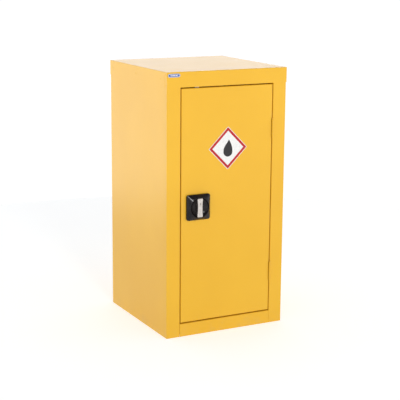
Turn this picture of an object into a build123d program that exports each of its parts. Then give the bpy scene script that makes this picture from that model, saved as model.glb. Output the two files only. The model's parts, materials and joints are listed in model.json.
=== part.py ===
from build123d import *
import os
from math import hypot, radians, sin, sqrt

# Flammable storage cabinet: a folded-steel floor cabinet with one door, a leak-proof sump,
# a spill-tray shelf and a recessed turning handle that throws two locking bars.
#
# The origin is on the floor under the middle of the body. X runs across the front, to the
# right, Y runs from the front (-Y) to the back, and Z is up. All sizes are in millimetres.

# ---------------------------------------------------------------- driving dimensions

# Body
width = 450.0
depth = 460.0
height = 900.0
sheet = 1.2  # steel of the body and of the door
bend = 2.6  # outside radius of a fold
stile = 50.0  # width of the upright front frame members
jamb = 25.0  # how far the frame folds back beside the door
stop_lip = 12.0  # lip behind the door's edge
rear_flange = 20.0
rail_height = 45.0  # bottom rail under the door
header_face = 36.0  # height of the top rail's hidden face

# Top cap
cap_skirt = 51.0
cap_corner = 1.8  # outside radius of the cap's edges
cap_tab = 16.0  # front skirt's tab, which wraps round onto the side
cap_tab_step = 0.5
cap_slack = 0.05

# Sump and shelf
sump_rim = 42.0
tray_corner = 5.0
tray_slack = 0.3
shelf_sheet = 1.2
shelf_rim = 30.0
shelf_level = 455.0  # underside of the shelf
shelf_side_gap = 2.8  # from the shelf's side to the uprights
shelf_front_gap = 6.0
shelf_back_gap = 4.0

# Shelf uprights and clips
upright_width = 26.0
upright_depth = 10.0
upright_bottom = 60.0
upright_top_gap = 9.0  # below the cap's skirt
upright_inset = 60.0  # from the body's front and back to an upright's middle
slot_pitch = 25.0
slot_height = 12.0
slot_width = 4.0
clip_sheet = 1.5
clip_width = 16.0
clip_ledge = 14.0
clip_back = 22.0

# Door
door_gap = 3.0  # at the door's two sides
door_gap_end = 4.0  # above and below the door
door_depth = 22.0
door_lip = 15.0
stiffener_x = 60.0
stiffener_crown = 44.0
stiffener_foot = 12.0
stiffener_depth = 17.0
stiffener_margin = 55.0  # from the door's ends
buffer_radius = 4.5
buffer_play = 0.4
buffer_margin = 0.3  # from a buffer to the lip's free edge
buffer_spread = 300.0  # from the handle's height to the side buffers

# Hinges
hinge_height = 65.0
hinge_spacing = 504.0
hinge_drop = 4.0  # from the door's middle down to the hinges' middle
knuckles = 5
knuckle_play = 0.4
barrel_radius = 3.5
pin_radius = 2.0
pin_play = 0.05
pin_head = 3.0
pin_head_height = 1.4
leaf_sheet = 1.2
leaf_depth = 18.0
leaf_clear = 0.5
pin_forward = 2.6  # the pin's axis stands this far in front of the door's face
hinge_notch = 3.0
hinge_notch_depth = 3.5
hinge_notch_end = 1.0

# Handle and lock
handle_inset = 61.5  # from the door's free edge to the handle's axis
escutcheon_side = 87.0
escutcheon_corner = 8.0
escutcheon_wall = 6.5
escutcheon_rise = 17.0
rim_radius = 36.0
rim_land = 2.0
dish_floor_radius = 20.0
dish_floor = 7.0  # floor of the dish above the door's face
dish_sag = 2.2
boss_radius = 12.0
boss_length = 5.5
boss_play = 0.5
grip_length = 64.0
grip_end = 21.0
grip_waist = 17.0
grip_corner = 4.0
grip_proud = 3.0
grip_clear = 0.8
grip_edge = 1.4
spindle_radius = 5.95
spindle_play = 0.05
spindle_square = 8.0
square_play = 0.1
plug_offset = 13.0
plug_radius = 6.0
plug_play = 0.05
plug_depth = 8.0
plug_sunk = 0.5
key_slot_width = 1.8
key_slot_length = 8.0
key_slot_depth = 5.0
clamp_sheet = 2.0
clamp_length = 62.0
clamp_height = 40.0
screw_spread = 24.0
screw_radius = 2.0
screw_head_radius = 4.0
screw_head_height = 2.2
screw_bite = 5.0
screw_play = 0.1

# Drive cam and locking bars
cam_sheet = 3.0
cam_radius = 20.0
cam_setback = 8.0  # from the door's face to the cam
crank_radius = 13.0
crank_pin_radius = 2.5
crank_pin_head = 3.5
crank_pin_head_height = 0.9
crank_pin_play = 0.05
crank_slot_play = 0.7
crank_slot_wall = 4.0
foot_clear = 2.0  # from one bar's foot to the other bar
nose_width = 16.0
nose_bite = 8.0  # how far the cam's nose reaches past the jamb
nose_play = 3.0
cam_screw_radius = 6.5
cam_screw_height = 1.2
cam_recess = 1.4
layer_gap = 0.6
bar_sheet = 3.0
bar_width = 18.0
bar_tip_gap = 1.0  # from a drawn-back bar's tip to its rail
bar_tip_chamfer = 3.0
bar_slot_play = 2.0  # from a bar's faces to the door's edge slot
bar_slot_length = 40.0
keeper_play = 3.0  # from a bar's front face to its keeper notch
keeper_length = 42.0
guide_reach = 200.0  # from the handle's axis to each bar guide
guide_length = 16.0
guide_width = 30.0
guide_base_width = 46.0
guide_base = 2.0
guide_play = 0.5
guide_wall = 1.6

# Trim
label_side = 103.0
label_margin = 1.8
label_border = 8.0
label_x = 2.0
label_below_top = 207.0  # from the door's top edge
label_film = 0.3
flame_height = 58.0
flame_width = 34.0
flame_lean = 3.0
badge_length = 45.0
badge_height = 12.0
badge_film = 0.5
badge_inset = 2.0
badge_below_top = 5.0
rivet_radius = 2.4
rivet_height = 0.7
rivet_front_inset = 45.0
rivet_back_inset = 25.0
corner_rivet = 8.0

# ---------------------------------------------------------------- derived places

front = -depth / 2
back = depth / 2
side = width / 2
opening = side - stile  # half the door opening's width
opening_bottom = rail_height
opening_top = height - cap_skirt
stop_face = front + jamb  # front face of the lips behind the door
stop_edge = opening - stop_lip  # inner edge of those lips

door_side = opening - door_gap
door_bottom = opening_bottom + door_gap_end
door_top = opening_top - door_gap_end
door_back = front + door_depth
skin_back = front + sheet
door_middle = (door_bottom + door_top) / 2

handle_x = -door_side + handle_inset
handle_z = door_middle
cam_front = front + cam_setback
cam_back = cam_front + cam_sheet
bar_front = cam_back + layer_gap
bar_back = bar_front + bar_sheet
bar_centre = (bar_front + bar_back) / 2
bar_reach = opening_top - bar_tip_gap - handle_z  # from the axis to a drawn-back tip
crank_offset = crank_radius * sin(radians(45))
bar_throw = 2 * crank_offset
nose_length = opening + handle_x + nose_bite
nose_sweep = hypot(nose_length, nose_width / 2)

pin_x = door_side + door_gap * 2 / 3
pin_y = front - pin_forward
hinge_middle = door_middle - hinge_drop
hinge_levels = (hinge_middle - hinge_spacing / 2, hinge_middle + hinge_spacing / 2)

upright_top = opening_top - upright_top_gap
upright_face = side - sheet - upright_depth
shelf_side = upright_face - shelf_side_gap
shelf_front = stop_face + sheet + shelf_front_gap
shelf_back = back - 2 * sheet - shelf_back_gap
upright_rows = (front + upright_inset, back - upright_inset)

label_z = door_top - label_below_top

# Sketch plane on the handle's axis, seen from the front: local x is +X and local y is +Z.
handle_plane = Plane(origin=(handle_x, front, handle_z), x_dir=(1, 0, 0), z_dir=(0, -1, 0))
# Plane through the handle's axis, for turned profiles: local x is the radius, local y is +Y.
turning_plane = Plane(origin=(handle_x, front, handle_z), x_dir=(1, 0, 0), z_dir=(0, 0, 1))
handle_axis = Axis((handle_x, front, handle_z), (0, 1, 0))

parts = []


def facing(y):
    """The plane at depth y as seen from the front: local x is +X and local y is +Z."""
    return Plane.XZ.offset(-y)


def keep(part, name):
    """Names a finished piece and lists it for writing."""
    part.label = name
    parts.append(part)


def folded(points, plane, length, thickness=sheet, radius=bend):
    """A strip folded from sheet along the given points, drawn as long as length."""
    with BuildPart() as strip:
        with BuildSketch(plane):
            with BuildLine():
                FilletPolyline(*points, radius=radius)
                offset(amount=thickness, side=Side.LEFT)
            make_face()
        extrude(amount=length)
    return strip.part


def tray(half_width, front_y, back_y, base_z, rim, thickness):
    """An open pan with rounded folds, leak-proof at its corners."""
    with BuildPart() as pan:
        with BuildSketch(Plane.XY.offset(base_z)):
            with Locations((0, (front_y + back_y) / 2)):
                RectangleRounded(2 * half_width, back_y - front_y, tray_corner)
        extrude(amount=rim)
        fillet(pan.faces().sort_by(Axis.Z)[0].edges(), radius=bend)
        offset(amount=-thickness, openings=pan.faces().sort_by(Axis.Z)[-1])
    return pan.part


# ---------------------------------------------------------------- body


def side_panel(hand):
    """Side, front stile, jamb, stop lip and rear flange, folded from one sheet."""
    run = [
        (-side + rear_flange, back),
        (-side, back),
        (-side, front),
        (-opening, front),
        (-opening, stop_face),
        (-stop_edge, stop_face),
    ]
    with BuildPart() as panel:
        add(folded(run, Plane.XY, height - sheet))
        if hand > 0:
            mirror(about=Plane.YZ, mode=Mode.REPLACE)
    return panel.part


with BuildPart() as left_side_panel:
    add(side_panel(-1))
    # Long slot in the jamb, through which the cam's nose swings.
    jamb_reach = opening + handle_x
    slot_low = -sqrt(nose_sweep**2 - jamb_reach**2) - nose_play
    slot_high = nose_width / 2 + nose_play
    with BuildSketch(Plane.YZ.offset(-opening - sheet)):
        with Locations(((cam_front + cam_back) / 2, handle_z + (slot_low + slot_high) / 2)):
            Rectangle(cam_sheet + 2 * nose_play, slot_high - slot_low)
    extrude(amount=sheet, mode=Mode.SUBTRACT)
keep(left_side_panel.part, "left_side_panel")

keep(side_panel(1), "right_side_panel")

with BuildPart() as back_panel:
    with BuildSketch(facing(back - sheet)):
        with Locations((0, (height - sheet) / 2)):
            Rectangle(2 * (side - bend), height - sheet)
    extrude(amount=sheet)
keep(back_panel.part, "back_panel")

with BuildPart() as top_cap:
    cap_half = side + cap_slack + sheet
    cap_depth = depth + 2 * (cap_slack + sheet)
    with BuildSketch(Plane.XY.offset(opening_top)):
        Rectangle(2 * cap_half, cap_depth)
    extrude(amount=cap_skirt)
    fillet(top_cap.edges().filter_by(Axis.Z), radius=cap_corner)
    fillet(top_cap.faces().sort_by(Axis.Z)[-1].edges(), radius=cap_corner)
    with BuildSketch(Plane.XY.offset(opening_top)):
        Rectangle(2 * (cap_half - sheet), cap_depth - 2 * sheet)
    extrude(amount=cap_skirt - sheet, mode=Mode.SUBTRACT)
    # The front skirt's tabs lie a little inside the side skirts, which end in a round corner.
    for hand in (-1, 1):
        with BuildSketch(Plane.YZ.offset(hand * cap_half)):
            with BuildLine():
                corner_y = -cap_depth / 2
                tab_top = height - cap_corner - cap_tab_step
                tab_arc_start = (corner_y + cap_tab, tab_top - cap_tab / 2)
                tab_arc_end = (corner_y + cap_tab / 2, tab_top)
                Polyline((corner_y, opening_top), (corner_y + cap_tab, opening_top), tab_arc_start)
                RadiusArc(tab_arc_start, tab_arc_end, cap_tab / 2)
                Polyline(tab_arc_end, (corner_y, tab_top), (corner_y, opening_top))
            make_face()
        extrude(amount=-hand * cap_tab_step, mode=Mode.SUBTRACT)
keep(top_cap.part, "top_cap")

sump_tray = tray(
    side - sheet - tray_slack,
    stop_face + sheet + tray_slack,
    back - 2 * sheet - tray_slack,
    0,
    sump_rim,
    sheet,
)
keep(sump_tray, "sump_tray")


def front_rail(run):
    """A cross member between the stiles, with its stop lip and the keeper notch for a bar."""
    with BuildPart() as rail:
        add(folded(run, Plane.YZ.offset(-opening + cap_slack), 2 * (opening - cap_slack)))
        # The lip behind the door runs between the side lips only.
        with BuildSketch(Plane.XY):
            for hand in (-1, 1):
                with Locations((hand * (stop_edge + opening) / 2, stop_face)):
                    Rectangle(stop_lip + 2 * cap_slack, 2 * bend + sheet)
        extrude(amount=height, mode=Mode.SUBTRACT)
        # Notch open to the back: the bar bears on its front edge when the door is pulled.
        notch_front = bar_front - keeper_play
        notch_back = stop_face + bend
        with BuildSketch(Plane.XY):
            with Locations((handle_x, (notch_front + notch_back) / 2)):
                Rectangle(keeper_length, notch_back - notch_front)
        extrude(amount=height, mode=Mode.SUBTRACT)
    return rail.part


bottom_run = [
    (stop_face, rail_height + stop_lip),
    (stop_face, rail_height),
    (front, rail_height),
    (front, 0),
]
keep(front_rail(bottom_run), "bottom_rail")

top_run = [
    (front, opening_top + header_face),
    (front, opening_top),
    (stop_face, opening_top),
    (stop_face, opening_top - stop_lip),
]
keep(front_rail(top_run), "top_rail")

# ---------------------------------------------------------------- shelf and its supports

slot_count = int((upright_top - upright_bottom) / slot_pitch) - 1
first_slot = shelf_level - int((shelf_level - upright_bottom) / slot_pitch - 0.5) * slot_pitch


def upright(hand, row_y):
    """A slotted channel, welded to the side panel by its two flanges."""
    half = upright_width / 2
    wall = side - sheet
    run = [
        (wall, row_y + half),
        (upright_face, row_y + half),
        (upright_face, row_y - half),
        (wall, row_y - half),
    ]
    with BuildPart() as channel:
        add(folded(run, Plane.XY.offset(upright_bottom), upright_top - upright_bottom))
        middle = first_slot + (slot_count - 1) * slot_pitch / 2
        with BuildSketch(Plane.YZ.offset(upright_face)):
            with Locations((row_y, middle)):
                with GridLocations(0, slot_pitch, 1, slot_count):
                    Rectangle(slot_width, slot_height)
        extrude(amount=sheet, mode=Mode.SUBTRACT)
        if hand < 0:
            mirror(about=Plane.YZ, mode=Mode.REPLACE)
    return channel.part


for side_name, hand in (("left", -1), ("right", 1)):
    for row_name, row_y in zip(("front", "rear"), upright_rows):
        keep(upright(hand, row_y), f"upright_{side_name}_{row_name}")

with BuildPart() as shelf_clips:
    clip_plate_x = upright_face - clip_sheet
    for row_y in upright_rows:
        with BuildSketch(Plane.XZ.offset(-row_y)):
            with BuildLine():
                Polyline(
                    (upright_face, shelf_level - clip_back),
                    (upright_face, shelf_level),
                    (clip_plate_x - clip_ledge, shelf_level),
                    (clip_plate_x - clip_ledge, shelf_level - clip_sheet),
                    (clip_plate_x, shelf_level - clip_sheet),
                    (clip_plate_x, shelf_level - clip_back),
                    close=True,
                )
            make_face()
        extrude(amount=clip_width / 2, both=True)
        # Tongue through the upright's slot.
        with BuildSketch(Plane.XY.offset(shelf_level - clip_sheet - slot_height / 4)):
            with Locations((upright_face + sheet, row_y)):
                Rectangle(2 * sheet, slot_width - 1)
        extrude(amount=slot_height / 4)
    mirror(about=Plane.YZ)
keep(shelf_clips.part, "shelf_clips")

shelf_tray = tray(shelf_side, shelf_front, shelf_back, shelf_level, shelf_rim, shelf_sheet)
keep(shelf_tray, "shelf_tray")

# ---------------------------------------------------------------- door

with BuildPart() as door_skin:
    door_height = door_top - door_bottom
    with BuildSketch(facing(front)):
        with Locations((0, door_middle)):
            Rectangle(2 * door_side, door_height)
    extrude(amount=-door_depth)
    fillet(door_skin.faces().sort_by(Axis.Y)[0].edges(), radius=bend)
    # Hollow behind the face, closed round its back by the returned lip.
    with BuildSketch(facing(skin_back)):
        with Locations((0, door_middle)):
            Rectangle(2 * (door_side - sheet), door_height - 2 * sheet)
    extrude(amount=-(door_depth - 2 * sheet), mode=Mode.SUBTRACT)
    with BuildSketch(facing(door_back)):
        with Locations((0, door_middle)):
            Rectangle(2 * (door_side - door_lip), door_height - 2 * door_lip)
    extrude(amount=sheet, mode=Mode.SUBTRACT)
    # Round hole for the lock's boss, and one for each of its screws.
    with BuildSketch(handle_plane):
        Circle(boss_radius + boss_play)
        with GridLocations(2 * screw_spread, 0, 2, 1):
            Circle(screw_radius + boss_play)
    extrude(amount=-sheet, mode=Mode.SUBTRACT)
    # Slots in the top and bottom edges for the bars.
    with BuildSketch(Plane.XY.offset(door_bottom)):
        with Locations((handle_x, bar_centre)):
            Rectangle(bar_slot_length, bar_sheet + 2 * bar_slot_play)
    extrude(amount=door_height, mode=Mode.SUBTRACT)
    # Slot in the free edge for the cam's nose.
    edge_reach = handle_inset - sheet
    edge_low = -sqrt(nose_sweep**2 - edge_reach**2) - nose_play
    with BuildSketch(Plane.YZ.offset(-door_side)):
        with Locations(((cam_front + cam_back) / 2, handle_z + (edge_low + slot_high) / 2)):
            Rectangle(cam_sheet + 2 * nose_play, slot_high - edge_low)
    extrude(amount=sheet, mode=Mode.SUBTRACT)
    # Notches beside the hinge barrels.
    for level in hinge_levels:
        notch_height = hinge_height + 2 * hinge_notch_end
        with BuildSketch(Plane.XY.offset(level - notch_height / 2)):
            with Locations((door_side - hinge_notch / 2, front + hinge_notch_depth / 2)):
                Rectangle(hinge_notch, hinge_notch_depth)
        extrude(amount=notch_height, mode=Mode.SUBTRACT)
keep(door_skin.part, "door_skin")

crown = stiffener_crown / 2
stiffener_run = [
    (stiffener_x + crown + stiffener_foot, skin_back),
    (stiffener_x + crown, skin_back),
    (stiffener_x + crown, skin_back + stiffener_depth),
    (stiffener_x - crown, skin_back + stiffener_depth),
    (stiffener_x - crown, skin_back),
    (stiffener_x - crown - stiffener_foot, skin_back),
]
with BuildPart() as door_stiffener:
    stiffener_bottom = door_bottom + stiffener_margin
    stiffener_length = door_height - 2 * stiffener_margin
    with BuildSketch(Plane.XY.offset(stiffener_bottom)):
        with BuildLine():
            FilletPolyline(*stiffener_run, radius=bend)
            offset(amount=sheet, side=Side.RIGHT)
        make_face()
    extrude(amount=stiffener_length)
keep(door_stiffener.part, "door_stiffener")

with BuildPart() as door_buffers:
    stop_line = (stop_edge + door_side) / 2
    on_lip = stop_lip - buffer_radius - buffer_margin
    spots = [
        (-stop_line, handle_z - buffer_spread),
        (-stop_line, handle_z + buffer_spread),
        (0, opening_top - on_lip),
        (0, opening_bottom + on_lip),
    ]
    with BuildSketch(facing(stop_face)):
        with Locations(*spots):
            Circle(buffer_radius)
    extrude(amount=stop_face - door_back - buffer_play)
    fillet(door_buffers.edges().group_by(Axis.Y)[0], radius=1)
keep(door_buffers.part, "door_buffers")

# ---------------------------------------------------------------- hinges

knuckle_pitch = hinge_height / knuckles


def hinge_leaf(level, owned, wall_x):
    """A leaf flat against one wall of the gap, curled round the pin at its own knuckles."""
    bottom = level - hinge_height / 2
    plate_front = pin_y + barrel_radius + leaf_clear
    with BuildPart() as leaf:
        for index in owned:
            with BuildSketch(Plane.XY.offset(bottom + index * knuckle_pitch + knuckle_play / 2)):
                with Locations((pin_x, pin_y)):
                    Circle(barrel_radius)
                with Locations((wall_x, (pin_y + plate_front + leaf_clear) / 2)):
                    Rectangle(leaf_sheet, barrel_radius + 2 * leaf_clear)
                with Locations((pin_x, pin_y)):
                    Circle(pin_radius + pin_play, mode=Mode.SUBTRACT)
            extrude(amount=knuckle_pitch - knuckle_play)
        with BuildSketch(Plane.XY.offset(bottom)):
            with Locations((wall_x, plate_front + leaf_depth / 2)):
                Rectangle(leaf_sheet, leaf_depth)
        extrude(amount=hinge_height)
    return leaf.part


def hinge_pin(level):
    """A straight pin with a low round head at each end."""
    with BuildPart() as pin:
        for half in (-1, 1):
            with BuildSketch(Plane.XY.offset(level)):
                with Locations((pin_x, pin_y)):
                    Circle(pin_radius)
            extrude(amount=half * hinge_height / 2)
            with BuildSketch(Plane.XY.offset(level + half * hinge_height / 2)):
                with Locations((pin_x, pin_y)):
                    Circle(pin_head)
            extrude(amount=half * pin_head_height)
        fillet(pin.edges().group_by(Axis.Z)[-1], radius=0.8)
        fillet(pin.edges().group_by(Axis.Z)[0], radius=0.8)
    return pin.part


for name, level in zip(("lower", "upper"), hinge_levels):
    frame_wall = opening - leaf_sheet / 2
    door_wall = door_side + leaf_sheet / 2
    keep(hinge_leaf(level, range(0, knuckles, 2), frame_wall), f"hinge_frame_leaf_{name}")
    keep(hinge_leaf(level, range(1, knuckles, 2), door_wall), f"hinge_door_leaf_{name}")
    keep(hinge_pin(level), f"hinge_pin_{name}")

# ---------------------------------------------------------------- handle and lock

rim_inner = rim_radius - rim_land

with BuildPart() as lock_escutcheon:
    with BuildSketch(handle_plane):
        RectangleRounded(escutcheon_side, escutcheon_side, escutcheon_corner)
    extrude(amount=escutcheon_wall)
    with BuildSketch(handle_plane.offset(escutcheon_wall)):
        RectangleRounded(escutcheon_side, escutcheon_side, escutcheon_corner)
    with BuildSketch(handle_plane.offset(escutcheon_rise)):
        Circle(rim_radius)
    loft()
    # Boss through the door.
    with BuildSketch(handle_plane):
        Circle(boss_radius)
    extrude(amount=-boss_length)
    # Dished recess for the fingers.
    with BuildSketch(turning_plane):
        with BuildLine():
            Polyline((0, -dish_floor), (dish_floor_radius, -dish_floor))
            SagittaArc(
                (dish_floor_radius, -dish_floor), (rim_inner, -escutcheon_rise), dish_sag
            )
            Polyline(
                (rim_inner, -escutcheon_rise), (rim_inner, -escutcheon_rise - 1),
                (0, -escutcheon_rise - 1), (0, -dish_floor),
            )
        make_face()
    revolve(axis=handle_axis, mode=Mode.SUBTRACT)
    with BuildSketch(handle_plane.offset(dish_floor)):
        Circle(spindle_radius + spindle_play)
    extrude(amount=-(dish_floor + boss_length), mode=Mode.SUBTRACT)
    with BuildSketch(handle_plane):
        with GridLocations(2 * screw_spread, 0, 2, 1):
            Circle(screw_radius + screw_play)
    extrude(amount=screw_bite, mode=Mode.SUBTRACT)
keep(lock_escutcheon.part, "lock_escutcheon")

with BuildPart() as lock_clamp_plate:
    with BuildSketch(handle_plane.offset(-sheet)):
        RectangleRounded(clamp_length, clamp_height, grip_corner)
        Circle(boss_radius + boss_play, mode=Mode.SUBTRACT)
        with GridLocations(2 * screw_spread, 0, 2, 1):
            Circle(screw_radius + screw_play, mode=Mode.SUBTRACT)
    extrude(amount=-clamp_sheet)
keep(lock_clamp_plate.part, "lock_clamp_plate")

with BuildPart() as lock_screws:
    head_seat = sheet + clamp_sheet
    with BuildSketch(handle_plane.offset(-head_seat)):
        with GridLocations(2 * screw_spread, 0, 2, 1):
            Circle(screw_radius)
    extrude(amount=head_seat + screw_bite - screw_play)
    with BuildSketch(handle_plane.offset(-head_seat)):
        with GridLocations(2 * screw_spread, 0, 2, 1):
            Circle(screw_head_radius)
    extrude(amount=-screw_head_height)
    fillet(lock_screws.edges().group_by(Axis.Y)[-1], radius=1)
keep(lock_screws.part, "lock_screws")

with BuildPart() as handle_grip:
    grip_front = escutcheon_rise + grip_proud
    half_length = grip_length / 2
    half_end = grip_end / 2
    half_waist = grip_waist / 2
    with BuildSketch(handle_plane.offset(dish_floor + grip_clear)) as grip_outline:
        with BuildLine():
            ThreePointArc((half_end, half_length), (half_waist, 0), (half_end, -half_length))
            Line((half_end, -half_length), (-half_end, -half_length))
            ThreePointArc((-half_end, -half_length), (-half_waist, 0), (-half_end, half_length))
            Line((-half_end, half_length), (half_end, half_length))
        make_face()
        fillet(grip_outline.vertices(), radius=grip_corner)
    extrude(amount=grip_front - dish_floor - grip_clear)
    # The back of the bar follows the dish, so that it turns clear of it.
    with BuildSketch(turning_plane):
        with BuildLine():
            seat = -dish_floor - grip_clear
            reach = rim_inner - 2 * grip_clear
            Polyline((0, seat), (dish_floor_radius - grip_clear, seat))
            SagittaArc(
                (dish_floor_radius - grip_clear, seat), (reach, -escutcheon_rise), dish_sag
            )
            Polyline(
                (reach, -escutcheon_rise), (grip_length, -escutcheon_rise),
                (grip_length, -grip_front), (0, -grip_front), (0, seat),
            )
        make_face()
    revolve(axis=handle_axis, mode=Mode.INTERSECT)
    fillet(handle_grip.faces().sort_by(Axis.Y)[0].edges(), radius=grip_edge)
    # Blind bore for the key plug.
    with BuildSketch(handle_plane.offset(grip_front)):
        with Locations((0, plug_offset)):
            Circle(plug_radius + plug_play)
    extrude(amount=-plug_depth, mode=Mode.SUBTRACT)
    # Spindle, squared where it drives the cam.
    with BuildSketch(handle_plane.offset(dish_floor + grip_clear)):
        Circle(spindle_radius)
    extrude(amount=-(dish_floor + grip_clear + cam_setback - layer_gap))
    with BuildSketch(handle_plane.offset(-cam_setback + layer_gap)):
        Rectangle(spindle_square, spindle_square)
    extrude(amount=-(layer_gap + cam_sheet - cam_recess))
keep(handle_grip.part, "handle_grip")

with BuildPart() as lock_plug:
    with BuildSketch(handle_plane.offset(grip_front - plug_sunk)):
        with Locations((0, plug_offset)):
            Circle(plug_radius)
    extrude(amount=-(plug_depth - 2 * plug_sunk))
    with BuildSketch(handle_plane.offset(grip_front - plug_sunk)):
        with Locations((0, plug_offset)):
            Rectangle(key_slot_width, key_slot_length)
    extrude(amount=-key_slot_depth, mode=Mode.SUBTRACT)
keep(lock_plug.part, "lock_plug")

# ---------------------------------------------------------------- cam and locking bars

cam_plane = handle_plane.offset(-cam_setback - cam_sheet)  # the cam's back face
crank_pins = [(-crank_offset, -crank_offset), (crank_offset, crank_offset)]

with BuildPart() as drive_cam:
    with BuildSketch(cam_plane):
        Circle(cam_radius)
        with BuildLine():
            half_nose = nose_width / 2
            Polyline((-half_nose, 0), (-half_nose, -nose_length + half_nose / 2))
            RadiusArc(
                (-half_nose, -nose_length + half_nose / 2),
                (-half_nose / 2, -nose_length),
                -half_nose / 2,
            )
            Line((-half_nose / 2, -nose_length), (half_nose / 2, -nose_length))
            RadiusArc(
                (half_nose / 2, -nose_length),
                (half_nose, -nose_length + half_nose / 2),
                -half_nose / 2,
            )
            Polyline((half_nose, -nose_length + half_nose / 2), (half_nose, 0), (-half_nose, 0))
        make_face()
        square_hole = spindle_square + 2 * square_play
        Rectangle(square_hole, square_hole, mode=Mode.SUBTRACT)
        with Locations(*crank_pins):
            Circle(crank_pin_radius + crank_pin_play, mode=Mode.SUBTRACT)
    extrude(amount=cam_sheet)
    with BuildSketch(cam_plane):
        Circle(cam_screw_radius + square_play)
    extrude(amount=cam_recess, mode=Mode.SUBTRACT)
keep(drive_cam.part, "drive_cam")

with BuildPart() as cam_pins:
    with BuildSketch(cam_plane.offset(cam_sheet)):
        with Locations(*crank_pins):
            Circle(crank_pin_radius)
    extrude(amount=-(cam_sheet + layer_gap + bar_sheet + layer_gap))
    with BuildSketch(cam_plane.offset(cam_sheet)):
        with Locations(*crank_pins):
            Circle(crank_pin_head)
    extrude(amount=crank_pin_head_height)
keep(cam_pins.part, "cam_pins")

with BuildPart() as cam_screw:
    with BuildSketch(cam_plane.offset(cam_recess)):
        Circle(cam_screw_radius)
    extrude(amount=-cam_screw_height)
    with BuildSketch(cam_plane.offset(cam_recess - cam_screw_height)):
        Rectangle(cam_screw_radius, 1)
    extrude(amount=cam_screw_height / 2, mode=Mode.SUBTRACT)
keep(cam_screw.part, "cam_screw")


def locking_bar(across):
    """A flat bar with an offset foot, slotted for its crank pin; across is its +x side."""
    plane = Plane(origin=(handle_x, bar_back, handle_z), x_dir=across, z_dir=(0, -1, 0))
    slot_half = crank_pin_radius + crank_slot_play
    foot_low = -crank_offset - slot_half - crank_slot_wall
    foot_inner = -crank_offset + slot_half + crank_slot_wall
    foot_outer = -crank_radius - slot_half - crank_slot_wall
    strip_low = -foot_low + foot_clear
    foot_high = strip_low + bar_width / 2
    with BuildPart() as bar:
        with BuildSketch(plane) as outline:
            with Locations((0, (strip_low + bar_reach) / 2)):
                Rectangle(bar_width, bar_reach - strip_low)
            chamfer(outline.vertices().group_by(Axis.Y)[-1], length=bar_tip_chamfer)
            with Locations(((foot_inner + foot_outer) / 2, (foot_low + foot_high) / 2)):
                Rectangle(foot_inner - foot_outer, foot_high - foot_low)
            slot_length = crank_radius - crank_offset + 2 * slot_half
            with Locations((-(crank_radius + crank_offset) / 2, -crank_offset)):
                SlotOverall(slot_length, 2 * slot_half, mode=Mode.SUBTRACT)
        extrude(amount=bar_sheet)
    return bar.part


keep(locking_bar((1, 0, 0)), "upper_locking_bar")
keep(locking_bar((-1, 0, 0)), "lower_locking_bar")

with BuildPart() as bar_guides:
    for reach in (-guide_reach, guide_reach):
        guide_plane = Plane.XY.offset(handle_z + reach - guide_length / 2)
        guide_back = bar_back + guide_play + guide_wall
        with BuildSketch(guide_plane):
            with Locations((handle_x, (skin_back + guide_back) / 2)):
                Rectangle(guide_width, guide_back - skin_back)
            with Locations((handle_x, skin_back + guide_base / 2)):
                Rectangle(guide_base_width, guide_base)
            with Locations((handle_x, bar_centre)):
                passage = bar_width + 2 * guide_play
                Rectangle(passage, bar_sheet + 2 * guide_play, mode=Mode.SUBTRACT)
        extrude(amount=guide_length)
keep(bar_guides.part, "bar_guides")

# ---------------------------------------------------------------- trim

label_plane = Plane(origin=(label_x, front, label_z), x_dir=(1, 0, 1), z_dir=(0, -1, 0))

with BuildPart() as label_plate:
    with BuildSketch(label_plane):
        RectangleRounded(label_side, label_side, label_margin)
    extrude(amount=label_film)
keep(label_plate.part, "label_plate")

with BuildPart() as label_border_ring:
    with BuildSketch(label_plane.offset(label_film)):
        outer = label_side - 2 * label_margin
        inner = outer - 2 * label_border
        Rectangle(outer, outer)
        Rectangle(inner, inner, mode=Mode.SUBTRACT)
    extrude(amount=label_film)
keep(label_border_ring.part, "label_border")

with BuildPart() as label_symbol:
    # One plain tongue of flame: a round drop whose tip leans over.
    with BuildSketch(facing(front - label_film)):
        flame_radius = flame_width / 2
        flame_low = label_z - flame_height / 2
        flame_belly = flame_low + flame_radius
        flame_left = (label_x - flame_radius, flame_belly)
        flame_right = (label_x + flame_radius, flame_belly)
        flame_tip = (label_x + flame_lean, label_z + flame_height / 2)
        with BuildLine():
            ThreePointArc(flame_left, (label_x, flame_low), flame_right)
            Spline(flame_right, flame_tip, tangents=[(0, 1), (-0.7, 1)])
            Spline(flame_tip, flame_left, tangents=[(-0.4, -1), (0, -1)])
        make_face()
    extrude(amount=label_film)
keep(label_symbol.part, "label_symbol")

cap_front = -cap_depth / 2
with BuildPart() as cap_badge:
    badge_x = -cap_half + cap_corner + badge_inset + badge_length / 2
    badge_z = height - badge_below_top - badge_height / 2
    with BuildSketch(facing(cap_front)):
        with Locations((badge_x, badge_z)):
            SlotOverall(badge_length, badge_height)
    extrude(amount=badge_film)
keep(cap_badge.part, "cap_badge")

with BuildPart() as cap_rivets:
    rivet_z = opening_top + cap_skirt / 2
    first_rivet = front + rivet_front_inset
    last_rivet = back - rivet_back_inset
    spots = [(y, rivet_z) for y in (first_rivet, (first_rivet + last_rivet) / 2, last_rivet)]
    with BuildSketch(Plane.YZ.offset(cap_half)):
        with Locations(*spots):
            Circle(rivet_radius)
    extrude(amount=rivet_height)
    with BuildSketch(Plane.YZ.offset(cap_half - cap_tab_step)):
        with Locations((cap_front + corner_rivet, opening_top + corner_rivet)):
            Circle(rivet_radius)
    extrude(amount=rivet_height)
    fillet(cap_rivets.faces().filter_by(Axis.X).group_by(Axis.X)[-1].edges(), radius=rivet_height / 2)
    mirror(about=Plane.YZ)
keep(cap_rivets.part, "cap_rivets")

# ---------------------------------------------------------------- files

os.makedirs("parts", exist_ok=True)
for part in parts:
    export_step(part, f"parts/{part.label}.step")
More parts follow.
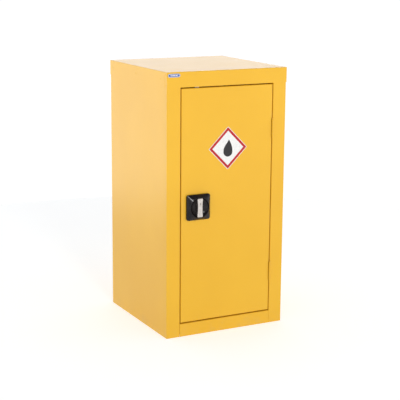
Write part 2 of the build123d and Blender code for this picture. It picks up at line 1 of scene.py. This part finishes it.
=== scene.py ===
import json
import math
import random

import bmesh
import bpy
from mathutils import Matrix, Vector


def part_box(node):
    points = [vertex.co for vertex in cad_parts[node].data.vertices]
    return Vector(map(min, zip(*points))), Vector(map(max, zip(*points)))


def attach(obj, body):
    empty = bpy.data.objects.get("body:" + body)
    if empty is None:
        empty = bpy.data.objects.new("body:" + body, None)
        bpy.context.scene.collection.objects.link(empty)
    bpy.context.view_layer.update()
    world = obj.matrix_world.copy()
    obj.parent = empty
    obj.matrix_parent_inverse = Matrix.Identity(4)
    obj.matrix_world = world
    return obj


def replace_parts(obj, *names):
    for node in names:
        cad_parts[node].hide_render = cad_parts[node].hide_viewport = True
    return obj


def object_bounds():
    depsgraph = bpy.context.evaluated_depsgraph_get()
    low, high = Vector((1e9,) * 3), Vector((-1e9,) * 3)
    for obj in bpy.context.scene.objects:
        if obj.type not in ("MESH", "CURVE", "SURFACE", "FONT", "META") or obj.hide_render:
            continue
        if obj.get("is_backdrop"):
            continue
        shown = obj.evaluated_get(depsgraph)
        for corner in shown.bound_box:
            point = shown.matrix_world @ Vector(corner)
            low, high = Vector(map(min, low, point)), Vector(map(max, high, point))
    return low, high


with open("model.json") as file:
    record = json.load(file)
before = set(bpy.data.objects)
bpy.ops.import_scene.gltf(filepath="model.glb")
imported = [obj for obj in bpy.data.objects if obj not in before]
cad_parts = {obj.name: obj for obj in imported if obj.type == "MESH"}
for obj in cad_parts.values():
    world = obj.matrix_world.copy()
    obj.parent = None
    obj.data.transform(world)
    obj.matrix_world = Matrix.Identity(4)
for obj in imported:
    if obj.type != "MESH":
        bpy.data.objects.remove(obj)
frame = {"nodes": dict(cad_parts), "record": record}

cad_low, cad_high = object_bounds()
nodes = frame["nodes"]
record = frame["record"]
slot_of = {part["node"]: part["material_slot"] for part in record["subparts"]}
rng = random.Random(7)


# ---------------------------------------------------------------- node helpers


class Tree:
    """A node tree with short calls for adding nodes and joining their sockets."""

    def __init__(self, tree):
        self.tree = tree

    def add(self, kind, inputs=None, **settings):
        made = self.tree.nodes.new(kind)
        for name, value in settings.items():
            setattr(made, name, value)
        for key, value in (inputs or {}).items():
            self.put(made.inputs[key], value)
        return made

    def put(self, socket, value):
        if isinstance(value, bpy.types.NodeSocket):
            self.tree.links.new(value, socket)
        elif hasattr(socket.default_value, "__len__") and not hasattr(value, "__len__"):
            socket.default_value = [value] * len(socket.default_value)
        elif hasattr(value, "__len__") and len(value) == 3 and len(socket.default_value) == 4:
            socket.default_value = (*value, 1.0)
        else:
            socket.default_value = value

    def math(self, operation, a, b=0.0, c=0.0, clamp=False):
        made = self.add("ShaderNodeMath", {0: a, 1: b, 2: c}, operation=operation, use_clamp=clamp)
        return made.outputs[0]

    def span(self, value, low, high, to_low=0.0, to_high=1.0, smooth=True):
        kind = "SMOOTHSTEP" if smooth else "LINEAR"
        inputs = {0: value, 1: low, 2: high, 3: to_low, 4: to_high}
        return self.add("ShaderNodeMapRange", inputs, interpolation_type=kind).outputs[0]

    def mix(self, factor, a, b, blend="MIX"):
        made = self.add("ShaderNodeMix", data_type="RGBA", blend_type=blend)
        self.put(made.inputs[0], factor)
        self.put(made.inputs[6], a)
        self.put(made.inputs[7], b)
        return made.outputs[2]

    def noise(self, vector, scale, detail=2.0, roughness=0.5, distortion=0.0):
        inputs = {"Vector": vector, "Scale": scale, "Detail": detail}
        inputs.update({"Roughness": roughness, "Distortion": distortion})
        return self.add("ShaderNodeTexNoise", inputs).outputs[0]

    def scaled(self, vector, scale):
        return self.add("ShaderNodeMapping", {"Vector": vector, "Scale": scale}).outputs[0]

    def bump(self, height, distance, strength=1.0, normal=None):
        inputs = {"Height": height, "Distance": distance, "Strength": strength}
        if normal is not None:
            inputs["Normal"] = normal
        return self.add("ShaderNodeBump", inputs).outputs[0]


def surface(name, **sockets):
    """A material with one Principled shader; returns it with its tree, shader and object coordinates."""
    made = bpy.data.materials.new(name)
    made.use_nodes = True
    made.node_tree.nodes.clear()
    tree = Tree(made.node_tree)
    shader = tree.add("ShaderNodeBsdfPrincipled")
    for key, value in sockets.items():
        tree.put(shader.inputs[key.replace("_", " ")], value)
    output = tree.add("ShaderNodeOutputMaterial")
    tree.tree.links.new(shader.outputs[0], output.inputs["Surface"])
    place = tree.add("ShaderNodeTexCoord").outputs["Object"]
    return made, tree, shader, place


# ---------------------------------------------------------------- materials


def powder_coat(name, welds=False):
    """Semi-gloss yellow powder coat on folded sheet: orange peel, slight waviness, faint marks."""
    made, tree, shader, place = surface(name, IOR=1.45)
    patch = tree.noise(place, 3.2, 3.0, 0.55)
    deep = tree.mix(tree.span(patch, 0.3, 0.7), (0.765, 0.420, 0.016), (0.795, 0.446, 0.019))
    speck = tree.noise(place, 900.0, 1.0, 0.5)
    colour = tree.mix(tree.span(speck, 0.60, 0.78), deep, (0.725, 0.380, 0.015))
    height = tree.add("ShaderNodeSeparateXYZ", {0: place})
    dust_noise = tree.noise(place, 22.0, 5.0, 0.65)
    low = tree.span(height.outputs[2], 0.0, 0.05, 1.0, 0.0)
    dust = tree.math("MULTIPLY", low, tree.span(dust_noise, 0.45, 0.75, 0.0, 0.22))
    colour = tree.mix(dust, colour, (0.42, 0.36, 0.26))
    tree.put(shader.inputs["Base Color"], colour)

    smear = tree.noise(tree.scaled(place, (1.0, 1.0, 0.35)), 11.0, 6.0, 0.6, 0.6)
    rough = tree.span(smear, 0.3, 0.75, 0.31, 0.335)
    marks = tree.noise(tree.scaled(place, (1.0, 1.0, 0.4)), 75.0, 4.0, 0.6)
    rough = tree.math("ADD", rough, tree.span(marks, 0.45, 0.85, -0.004, 0.010))
    tree.put(shader.inputs["Roughness"], rough)

    sway = tree.noise(tree.scaled(place, (1.0, 1.0, 0.22)), 6.0, 0.0, 0.0)
    normal = tree.bump(sway, 0.0005)
    peel = tree.noise(place, 430.0, 2.0, 0.55)
    normal = tree.bump(peel, 0.00007, 1.0, normal)
    grit = tree.noise(place, 1700.0, 1.0, 0.5)
    normal = tree.bump(grit, 0.000010, 1.0, normal)
    if welds:
        pitch = 0.0885  # between two spot welds
        along = tree.math("ADD", height.outputs[1], 0.23)
        cell = tree.math("SUBTRACT", tree.math("FRACT", tree.math("DIVIDE", along, pitch)), 0.5)
        across = tree.math("MULTIPLY", cell, pitch)
        shift = tree.noise(tree.scaled(place, (0.0, 1.0, 0.0)), 9.0, 1.0)
        level = tree.math("SUBTRACT", height.outputs[2], tree.span(shift, 0.2, 0.8, 0.015, 0.026))
        squares = tree.math("ADD", tree.math("POWER", across, 2.0), tree.math("POWER", level, 2.0))
        away = tree.math("SQRT", squares)
        dimple = tree.span(away, 0.0015, 0.0045, 0.0, 1.0)
        rim = tree.math("MULTIPLY", tree.span(away, 0.0035, 0.005), tree.span(away, 0.005, 0.008, 1.0, 0.0))
        mark = tree.math("ADD", dimple, tree.math("MULTIPLY", rim, 0.35))
        normal = tree.bump(mark, 0.00022, 1.0, normal)
    tree.put(shader.inputs["Normal"], normal)
    return made


def moulded_plastic(name, colour, rough, grain, coat=0.0):
    """A moulded plastic with fine spark-eroded grain and faint flow marks."""
    made, tree, shader, place = surface(name, IOR=1.33, Coat_Weight=coat, Coat_Roughness=0.12)
    flow = tree.noise(place, 60.0, 3.0, 0.6, 0.8)
    lighter = tuple(channel * 1.7 + 0.003 for channel in colour)
    tree.put(shader.inputs["Base Color"], tree.mix(tree.span(flow, 0.35, 0.75), colour, lighter))
    wipe = tree.noise(tree.scaled(place, (1.0, 1.0, 0.3)), 90.0, 4.0, 0.6, 0.5)
    tree.put(shader.inputs["Roughness"], tree.span(wipe, 0.3, 0.75, rough - 0.04, rough + 0.07))
    normal = tree.bump(tree.noise(place, 2600.0, 2.0, 0.5), grain)
    normal = tree.bump(tree.noise(place, 240.0, 2.0, 0.5), grain * 2.5, 1.0, normal)
    tree.put(shader.inputs["Normal"], normal)
    return made


def satin_chrome(name):
    """Die-cast zinc with a warm satin chrome finish, brushed along its length and a little scratched."""
    made, tree, shader, place = surface(name, Metallic=1.0)
    cloud = tree.noise(place, 120.0, 4.0, 0.6)
    tone = tree.mix(tree.span(cloud, 0.3, 0.7), (0.50, 0.455, 0.42), (0.64, 0.60, 0.565))
    brush = tree.noise(tree.scaled(place, (1.0, 1.0, 0.04)), 3200.0, 3.0, 0.6)
    tone = tree.mix(tree.span(brush, 0.58, 0.75, 0.0, 0.35), tone, (0.40, 0.375, 0.355))
    tree.put(shader.inputs["Base Color"], tone)
    rough = tree.math("ADD", tree.span(brush, 0.3, 0.7, 0.25, 0.38), tree.span(cloud, 0.3, 0.7, -0.03, 0.04))
    tree.put(shader.inputs["Roughness"], rough)
    slant = {"Vector": place, "Rotation": (0.0, 0.6, 0.0), "Scale": (1.0, 1.0, 0.03)}
    scratch_place = tree.add("ShaderNodeMapping", slant)
    scratch = tree.noise(scratch_place.outputs[0], 1400.0, 1.0, 0.5)
    normal = tree.bump(brush, 0.000012)
    normal = tree.bump(tree.span(scratch, 0.70, 0.76), 0.000010, 0.6, normal)
    tree.put(shader.inputs["Normal"], normal)
    return made


def zinc_plate(name):
    """Bright zinc on rolled steel strip: faint spangle, rolling lines and dull patches."""
    made, tree, shader, place = surface(name, Metallic=1.0)
    cells = tree.add("ShaderNodeTexVoronoi", {"Vector": place, "Scale": 260.0, "Randomness": 1.0})
    shade = tree.add("ShaderNodeSeparateColor", {0: cells.outputs["Color"]}).outputs[0]
    tone = tree.mix(tree.span(shade, 0.0, 1.0, 0.0, 0.6), (0.50, 0.52, 0.525), (0.66, 0.675, 0.665))
    haze = tree.noise(place, 45.0, 5.0, 0.6)
    tone = tree.mix(tree.span(haze, 0.5, 0.75, 0.0, 0.45), tone, (0.56, 0.54, 0.44))
    tree.put(shader.inputs["Base Color"], tone)
    rolling = tree.noise(tree.scaled(place, (1.0, 1.0, 0.03)), 2100.0, 2.0, 0.5)
    rough = tree.math("ADD", tree.span(haze, 0.3, 0.7, 0.26, 0.42), tree.span(rolling, 0.4, 0.7, -0.03, 0.05))
    tree.put(shader.inputs["Roughness"], rough)
    normal = tree.bump(rolling, 0.000010)
    normal = tree.bump(tree.noise(place, 700.0, 2.0, 0.5), 0.000014, 1.0, normal)
    tree.put(shader.inputs["Normal"], normal)
    return made


def film(name, colour, rough=0.32):
    """Printed vinyl film: even ink with slight mottle and a soft leathery gloss."""
    made, tree, shader, place = surface(name, IOR=1.42, Coat_Weight=0.1, Coat_Roughness=0.18)
    mottle = tree.noise(place, 160.0, 4.0, 0.6)
    darker = tuple(channel * 0.90 for channel in colour)
    tone = tree.mix(tree.span(mottle, 0.35, 0.7), colour, darker)
    scuff = tree.noise(tree.scaled(place, (1.0, 1.0, 0.15)), 300.0, 3.0, 0.6)
    paler = tuple(min(channel * 1.1 + 0.02, 0.9) for channel in colour)
    tone = tree.mix(tree.span(scuff, 0.68, 0.85, 0.0, 0.35), tone, paler)
    tree.put(shader.inputs["Base Color"], tone)
    tree.put(shader.inputs["Roughness"], tree.span(mottle, 0.3, 0.7, rough - 0.04, rough + 0.08))
    normal = tree.bump(tree.noise(place, 520.0, 2.0, 0.5), 0.000025)
    tree.put(shader.inputs["Normal"], normal)
    return made


def rubber(name):
    """Matt black rubber with bloom and mould marks."""
    made, tree, shader, place = surface(name, IOR=1.45)
    bloom = tree.noise(place, 380.0, 4.0, 0.65)
    tone = tree.mix(tree.span(bloom, 0.4, 0.75), (0.014, 0.014, 0.014), (0.05, 0.049, 0.046))
    tree.put(shader.inputs["Base Color"], tone)
    tree.put(shader.inputs["Roughness"], tree.span(bloom, 0.3, 0.7, 0.62, 0.85))
    tree.put(shader.inputs["Normal"], tree.bump(tree.noise(place, 1500.0, 3.0, 0.6), 0.00004))
    return made


low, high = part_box("cap_badge")
badge_middle = (low + high) / 2
badge_size = high - low


def badge_print(name):
    """Blue domed film with a white line round its edge and a plain white band; no lettering."""
    made, tree, shader, place = surface(name, IOR=1.5, Coat_Weight=1.0, Coat_Roughness=0.06)
    parts = tree.add("ShaderNodeSeparateXYZ", {0: place})
    across = tree.math("ABSOLUTE", tree.math("SUBTRACT", parts.outputs[0], badge_middle.x))
    up = tree.math("SUBTRACT", parts.outputs[2], badge_middle.z)
    radius = badge_size.z / 2
    past = tree.math("MAXIMUM", tree.math("SUBTRACT", across, badge_size.x / 2 - radius), 0.0)
    away = tree.math("SQRT", tree.math("ADD", tree.math("POWER", past, 2.0), tree.math("POWER", up, 2.0)))
    line_inner = tree.span(away, radius - 0.0022, radius - 0.0019)
    line_outer = tree.span(away, radius - 0.0011, radius - 0.0008, 1.0, 0.0)
    line = tree.math("MULTIPLY", line_inner, line_outer)
    band = tree.span(tree.math("ABSOLUTE", up), 0.0010, 0.0013, 1.0, 0.0)
    inside = tree.span(across, 0.0130, 0.0134, 1.0, 0.0)
    step = tree.math("DIVIDE", tree.math("ADD", across, 0.0015), 0.0060)
    gap = tree.span(tree.math("FRACT", step), 0.22, 0.26)
    white = tree.math("MAXIMUM", line, tree.math("MULTIPLY", tree.math("MULTIPLY", band, inside), gap))
    shade = tree.noise(place, 240.0, 3.0, 0.6)
    blue = tree.mix(tree.span(shade, 0.3, 0.7), (0.016, 0.060, 0.30), (0.022, 0.085, 0.36))
    tree.put(shader.inputs["Base Color"], tree.mix(white, blue, (0.82, 0.83, 0.84)))
    tree.put(shader.inputs["Roughness"], tree.span(shade, 0.3, 0.7, 0.22, 0.32))
    tree.put(shader.inputs["Normal"], tree.bump(tree.noise(place, 700.0, 2.0, 0.5), 0.00001))
    return made


finishes = {
    "yellow_paint": powder_coat("yellow_powder_coat"),
    "black_plastic": moulded_plastic("black_moulding", (0.005, 0.0035, 0.004), 0.20, 0.000008),
    "satin_chrome": satin_chrome("satin_chrome"),
    "zinc_plate": zinc_plate("zinc_plate"),
    "black_rubber": rubber("black_rubber"),
    "black_nylon": moulded_plastic("black_nylon", (0.018, 0.018, 0.019), 0.48, 0.00003),
    "label_white": film("white_film", (0.80, 0.80, 0.785)),
    "label_red": film("red_film", (0.47, 0.003, 0.008)),
    "label_black": film("black_film", (0.010, 0.010, 0.011)),
    "blue_badge": badge_print("badge_film"),
}
side_coat = powder_coat("yellow_powder_coat_side", welds=True)

edge_radius = 0.0004
rounding = nodes["lock_escutcheon"].modifiers.new("edge_rounding", "BEVEL")
rounding.width = edge_radius
rounding.segments = 2
rounding.limit_method = "ANGLE"
rounding.angle_limit = math.radians(14)
rounding.harden_normals = False

for name, piece in nodes.items():
    piece.data.materials.clear()
    side_wall = name in ("left_side_panel", "right_side_panel")
    piece.data.materials.append(side_coat if side_wall else finishes[slot_of[name]])


# ---------------------------------------------------------------- mesh helpers


def piece_from(mesh, name, body, finish, smooth=True):
    """Turns a bmesh into an object that rides on a body and has a slot's finish."""
    data = bpy.data.meshes.new(name)
    bmesh.ops.recalc_face_normals(mesh, faces=mesh.faces)
    mesh.to_mesh(data)
    mesh.free()
    for face in data.polygons:
        face.use_smooth = smooth
    made = bpy.data.objects.new(name, data)
    bpy.context.scene.collection.objects.link(made)
    data.materials.append(finishes[finish])
    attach(made, body)
    return made


def turned(mesh, centre, axis, profile, segments=28):
    """Adds a turned form: profile is a list of (radius, height) from the rim to the middle."""
    spin = Vector((0, 0, 1)).rotation_difference(Vector(axis)).to_matrix()
    rings = []
    for radius, height in profile:
        if radius == 0:
            rings.append([mesh.verts.new(Vector(centre) + spin @ Vector((0, 0, height)))])
            continue
        ring = []
        for step in range(segments):
            turn = 2 * math.pi * step / segments
            spot = Vector((radius * math.cos(turn), radius * math.sin(turn), height))
            ring.append(mesh.verts.new(Vector(centre) + spin @ spot))
        rings.append(ring)
    for outer, inner in zip(rings, rings[1:]):
        for step in range(segments):
            after = (step + 1) % segments
            if len(inner) == 1:
                mesh.faces.new((outer[step], outer[after], inner[0]))
            else:
                mesh.faces.new((outer[step], outer[after], inner[after], inner[step]))


# ---------------------------------------------------------------- badge


def badge_dome():
    """The badge as a low resin dome with a rounded edge."""
    mesh = bmesh.new()
    radius = badge_size.z / 2
    reach = badge_size.x / 2 - radius
    back_y = high.y
    crown = badge_size.y
    levels = [(0.0, 0.0), (0.0, 0.45), (0.0003, 0.75), (0.0009, 0.92), (0.0022, 0.985), (0.0040, 1.0)]
    rings = []
    for inset, share in levels:
        ring = []
        for step in range(48):
            turn = 2 * math.pi * step / 48
            end = reach if math.cos(turn) >= 0 else -reach
            x = badge_middle.x + end + (radius - inset) * math.cos(turn)
            z = badge_middle.z + (radius - inset) * math.sin(turn)
            ring.append(mesh.verts.new((x, back_y - crown * share, z)))
        rings.append(ring)
    for outer, inner in zip(rings, rings[1:]):
        for step in range(48):
            after = (step + 1) % 48
            mesh.faces.new((outer[step], outer[after], inner[after], inner[step]))
    mesh.faces.new(rings[-1])
    return piece_from(mesh, "badge_dome", "cabinet", "blue_badge")


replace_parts(badge_dome(), "cap_badge")


# ---------------------------------------------------------------- rivets


def islands(node):
    """Middles and sizes of a CAD node's separate solids."""
    mesh = bmesh.new()
    mesh.from_mesh(nodes[node].data)
    bmesh.ops.remove_doubles(mesh, verts=mesh.verts, dist=1e-6)
    left = set(mesh.verts)
    found = []
    while left:
        group = [left.pop()]
        reach = list(group)
        while reach:
            for edge in reach.pop().link_edges:
                for vert in edge.verts:
                    if vert in left:
                        left.discard(vert)
                        group.append(vert)
                        reach.append(vert)
        lowest = Vector([min(v.co[i] for v in group) for i in range(3)])
        highest = Vector([max(v.co[i] for v in group) for i in range(3)])
        found.append((lowest, highest))
    mesh.free()
    return found


mesh = bmesh.new()
for lowest, highest in islands("cap_rivets"):
    hand = 1 if lowest.x > 0 else -1
    face_x = highest.x if hand > 0 else lowest.x
    centre = (face_x, (lowest.y + highest.y) / 2, (lowest.z + highest.z) / 2)
    profile = [
        (0.00112, -0.00005),
        (0.00112, 0.00010),
        (0.00100, 0.00018),
        (0.00078, 0.00012),
        (0.00074, 0.00002),
        (0.00058, 0.00004),
        (0.0004, 0.00016),
        (0, 0.0002),
    ]
    turned(mesh, centre, (hand, 0, 0), profile, 20)
piece_from(mesh, "rivet_mandrels", "cabinet", "yellow_paint")


# ---------------------------------------------------------------- weld beads inside

mesh = bmesh.new()
for name in ("upright_left_front", "upright_left_rear", "upright_right_front", "upright_right_rear"):
    lowest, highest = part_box(name)
    hand = -1 if lowest.x < 0 else 1
    wall_x = lowest.x if hand < 0 else highest.x
    for edge_y, away in ((lowest.y, -1), (highest.y, 1)):
        for level in range(6):
            middle = lowest.z + 0.035 + level * (highest.z - lowest.z - 0.07) / 5
            run = 0.018 + 0.004 * rng.random()
            rings = []
            for step in range(19):
                share = step / 18
                swell = math.sqrt(max(math.sin(math.pi * share), 0.0))
                lift = 0.0016 * swell * (1 + 0.12 * math.cos(share * 50))
                ring = []
                for turn in (0, 0.3, 0.6, 0.9, 1.2, 1.5708):
                    x = wall_x - hand * lift * math.sin(turn)
                    y = edge_y + away * lift * math.cos(turn)
                    ring.append(mesh.verts.new((x, y, middle + run * (share - 0.5))))
                rings.append(ring)
            for one, two in zip(rings, rings[1:]):
                for step in range(5):
                    mesh.faces.new((one[step], one[step + 1], two[step + 1], two[step]))
piece_from(mesh, "weld_beads", "cabinet", "yellow_paint")


# ---------------------------------------------------------------- stage, light and camera


def floor():
    mesh = bmesh.new()
    rings = []
    for radius in (0.0, 0.5, 1.0, 1.5, 2.0):
        if radius == 0:
            rings.append([mesh.verts.new((0, 0, 0))])
            continue
        ring = []
        for step in range(48):
            turn = 2 * math.pi * step / 48
            ring.append(mesh.verts.new((radius * math.cos(turn), radius * math.sin(turn), 0)))
        rings.append(ring)
    for inner, outer in zip(rings, rings[1:]):
        for step in range(48):
            after = (step + 1) % 48
            if len(inner) == 1:
                mesh.faces.new((inner[0], outer[step], outer[after]))
            else:
                mesh.faces.new((inner[step], outer[step], outer[after], inner[after]))
    data = bpy.data.meshes.new("floor")
    mesh.to_mesh(data)
    mesh.free()
    made = bpy.data.objects.new("floor", data)
    bpy.context.scene.collection.objects.link(made)
    made.location.z = cad_low.z - 0.0002
    paper, tree, shader, place = surface("pale_floor", Roughness=0.9)
    tone = tree.mix(tree.span(tree.noise(place, 1.5, 3.0), 0.3, 0.7), (0.80, 0.80, 0.80), (0.82, 0.82, 0.82))
    tree.put(shader.inputs["Base Color"], tone)
    tree.put(shader.inputs["Emission Color"], (0.94, 0.97, 1.0))
    tree.put(shader.inputs["Emission Strength"], 0.50)
    data.materials.append(paper)
    made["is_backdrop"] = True


floor()

world = bpy.data.worlds.new("studio")
bpy.context.scene.world = world
world.use_nodes = True
world.node_tree.nodes.clear()
sky = Tree(world.node_tree)
look = sky.add("ShaderNodeTexCoord").outputs["Generated"]
toward = sky.add("ShaderNodeSeparateXYZ", {0: look})
rise = toward.outputs[2]
# level light all round, little from overhead, more from below the floor's edge behind and to the left
low_ring = sky.span(rise, -0.03, 0.0, 1.0, 0.0)
overhead = sky.span(rise, 0.25, 0.7, 1.04, 0.36)
behind = sky.span(toward.outputs[1], 0.0, 0.9)
left = sky.span(toward.outputs[0], 0.2, -0.6)
low_light = sky.math("ADD", 1.45, sky.math("MULTIPLY", sky.math("MULTIPLY", behind, left), 0.75))
level = sky.mix(low_ring, overhead, low_light)
glow = sky.span(sky.math("ABSOLUTE", sky.math("SUBTRACT", rise, 0.22)), 0.05, 0.25, 1.0, 0.0)
glow = sky.math("MULTIPLY", sky.math("MULTIPLY", behind, glow), 1.35)
radiance = sky.math("ADD", level, glow)
studio = sky.add("ShaderNodeBackground", {"Color": (1.0, 0.995, 0.985), "Strength": radiance})
plain = sky.add("ShaderNodeBackground", {"Color": (1.0, 1.0, 1.0), "Strength": 1.05})
is_camera = sky.add("ShaderNodeLightPath").outputs["Is Camera Ray"]
both = sky.add("ShaderNodeMixShader", {0: is_camera, 1: studio.outputs[0], 2: plain.outputs[0]})
output = sky.add("ShaderNodeOutputWorld")
sky.tree.links.new(both.outputs[0], output.inputs["Surface"])


def soft_box(name, place, target, size, radiance, colour=(1.0, 1.0, 1.0)):
    """A rectangular lamp of even brightness, given by its radiance."""
    data = bpy.data.lights.new(name, "AREA")
    data.shape = "RECTANGLE"
    data.size, data.size_y = size
    data.energy = radiance * math.pi * size[0] * size[1]
    data.color = colour
    made = bpy.data.objects.new(name, data)
    bpy.context.scene.collection.objects.link(made)
    made.location = place
    aim = Vector(target) - Vector(place)
    made.rotation_euler = aim.to_track_quat("-Z", "Y").to_euler()
    made.visible_camera = False
    return made


escutcheon_low, escutcheon_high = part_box("lock_escutcheon")
lock_spot = (escutcheon_low + escutcheon_high) / 2
soft_box("key_box", lock_spot + 6.0 * Vector((-0.14, -0.92, 0.37)), lock_spot, (1.0, 0.75), 32.0)
soft_box("edge_strip", lock_spot + 5.0 * Vector((0.86, -0.44, 0.02)), lock_spot, (0.5, 0.5), 16.0)

lens = bpy.data.cameras.new("view")
lens.lens = 101.52
lens.sensor_width = 36.0
lens.clip_end = 50.0
eye = bpy.data.objects.new("view", lens)
bpy.context.scene.collection.objects.link(eye)
eye_azimuth = -27.58
eye_drop = 12.46
eye_roll = 0.47
eye_place = (-1.804, -3.489, 1.282)
turn = Matrix.Rotation(math.radians(eye_azimuth), 4, "Z")
turn = turn @ Matrix.Rotation(math.radians(90 - eye_drop), 4, "X")
turn = turn @ Matrix.Rotation(math.radians(eye_roll), 4, "Z")
eye.matrix_world = Matrix.Translation(eye_place) @ turn
bpy.context.scene.camera = eye
bpy.context.scene.view_settings.view_transform = "Standard"
bpy.context.scene.view_settings.look = "None"

low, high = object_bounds()
